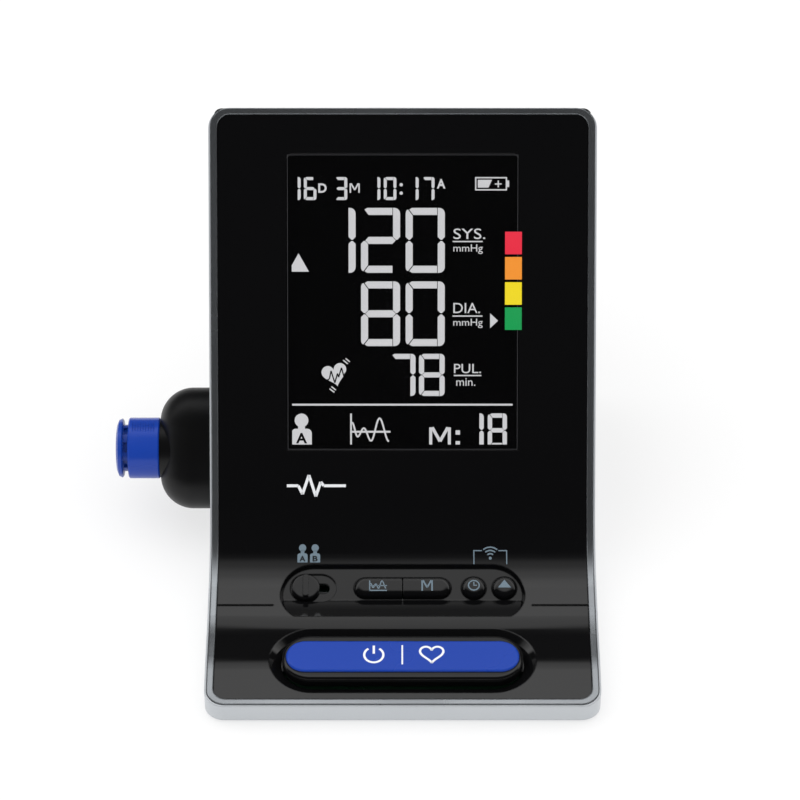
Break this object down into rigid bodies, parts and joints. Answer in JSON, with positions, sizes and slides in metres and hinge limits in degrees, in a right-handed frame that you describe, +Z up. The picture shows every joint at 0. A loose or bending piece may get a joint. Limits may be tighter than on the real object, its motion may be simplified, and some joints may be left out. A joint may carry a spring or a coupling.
{
  "type": "blood pressure monitor",
  "caption": "Desktop blood pressure monitor: a raked black panel with a readout window sweeps into a foot with a long start key and small keys; an air coupling stands out of its left side.",
  "frame": {"origin": "on the table, under the middle of the base, between its front and rear walls", "axes": "+Z up, -Y towards the user, +X to the user's right; the air coupling points along -X"},
  "size_m": [0.1267, 0.1355, 0.1032],
  "materials": {
    "black_gloss": "high gloss black ABS",
    "trim_metal": "satin anodised look, darker at its edges",
    "silver_abs": "silver painted ABS, satin",
    "black_abs": "black ABS, satin",
    "blue_gloss": "blue ABS, semi gloss",
    "blue_collar": "blue ABS, semi gloss",
    "rubber": "matte",
    "silicone": "translucent silicone",
    "foam": "closed cell foam",
    "clear_pane": "smoked clear pane, high gloss",
    "lcd": "liquid crystal cell",
    "light_guide": "light guide plate",
    "board": "glass fibre board with green solder mask",
    "chip_black": "moulded package",
    "sensor_white": "natural nylon",
    "switch_grey": "moulded",
    "steel": "zinc plated",
    "copper": "enamelled winding wire",
    "cell": "printed sleeve, plain"
  },
  "bodies": {
    "housing": {"air_manifold": "sensor_white", "battery_cells": "cell", "battery_contacts": "steel", "battery_springs": "steel", "battery_tray": "black_abs", "bezel_frame": "trim_metal", "board_posts": "black_abs", "board_screws": "steel", "case_screws": "steel", "controller_chip": "chip_black", "coupling_body": "blue_gloss", "coupling_seal": "silicone", "dc_jack": "black_abs", "display_lens": "clear_pane", "foot_board": "board", "front_fascia": "black_gloss", "lcd_backlight": "light_guide", "lcd_glass": "lcd", "lcd_holder": "black_abs", "main_board": "board", "memory_chip": "chip_black", "nipple": "sensor_white", "port_housing": "black_abs", "port_tube": "silicone", "pressure_sensor": "sensor_white", "pump_cradle": "black_abs", "pump_cushion": "foam", "pump_head": "sensor_white", "pump_motor": "steel", "pump_terminals": "steel", "pump_tube": "silicone", "radio_module": "chip_black", "rear_cover": "black_abs", "rubber_feet": "rubber", "sensor_tube": "silicone", "silver_case": "silver_abs", "slide_switch": "switch_grey", "tact_switches": "switch_grey", "valve_body": "sensor_white", "valve_coil": "copper", "valve_frame": "steel", "valve_plunger": "steel", "valve_tube": "silicone"},
    "start_key": {"start_button": "black_gloss", "start_inlay": "blue_gloss"},
    "average_key": {"average_button": "black_gloss"},
    "memory_key": {"memory_button": "black_gloss"},
    "clock_key": {"clock_button": "black_gloss"},
    "up_key": {"up_button": "black_gloss"},
    "user_knob": {"user_switch_knob": "black_gloss"},
    "collar": {"release_collar": "blue_collar"},
    "door": {"battery_door": "black_abs"}
  },
  "joints": [
    {"name": "start_press", "type": "slide", "parent": "housing", "child": "start_key", "axis": [0, 0.0698, -0.9976], "range_m": [0, 0.0008], "stiffness_N_per_m": 500, "springref_m": -0.0005},
    {"name": "average_press", "type": "slide", "parent": "housing", "child": "average_key", "axis": [0, 0.2756, -0.9613], "range_m": [0, 0.0006], "stiffness_N_per_m": 400, "springref_m": -0.0005},
    {"name": "memory_press", "type": "slide", "parent": "housing", "child": "memory_key", "axis": [0, 0.2756, -0.9613], "range_m": [0, 0.0006], "stiffness_N_per_m": 400, "springref_m": -0.0005},
    {"name": "clock_press", "type": "slide", "parent": "housing", "child": "clock_key", "axis": [0, 0.2756, -0.9613], "range_m": [0, 0.0006], "stiffness_N_per_m": 400, "springref_m": -0.0005},
    {"name": "up_press", "type": "slide", "parent": "housing", "child": "up_key", "axis": [0, 0.2756, -0.9613], "range_m": [0, 0.0006], "stiffness_N_per_m": 400, "springref_m": -0.0005},
    {"name": "user_slide", "type": "slide", "parent": "housing", "child": "user_knob", "axis": [1, 0, 0], "range_m": [0, 0.0039]},
    {"name": "collar_press", "type": "slide", "parent": "housing", "child": "collar", "axis": [1, 0, 0], "range_m": [0, 0.001], "stiffness_N_per_m": 500, "springref_m": -0.0005},
    {"name": "door_swing", "type": "hinge", "parent": "housing", "child": "door", "pos_m": [0, 0.06251, 0.01264], "axis": [-1, 0, 0], "range_deg": [0, 85]}
  ]
}
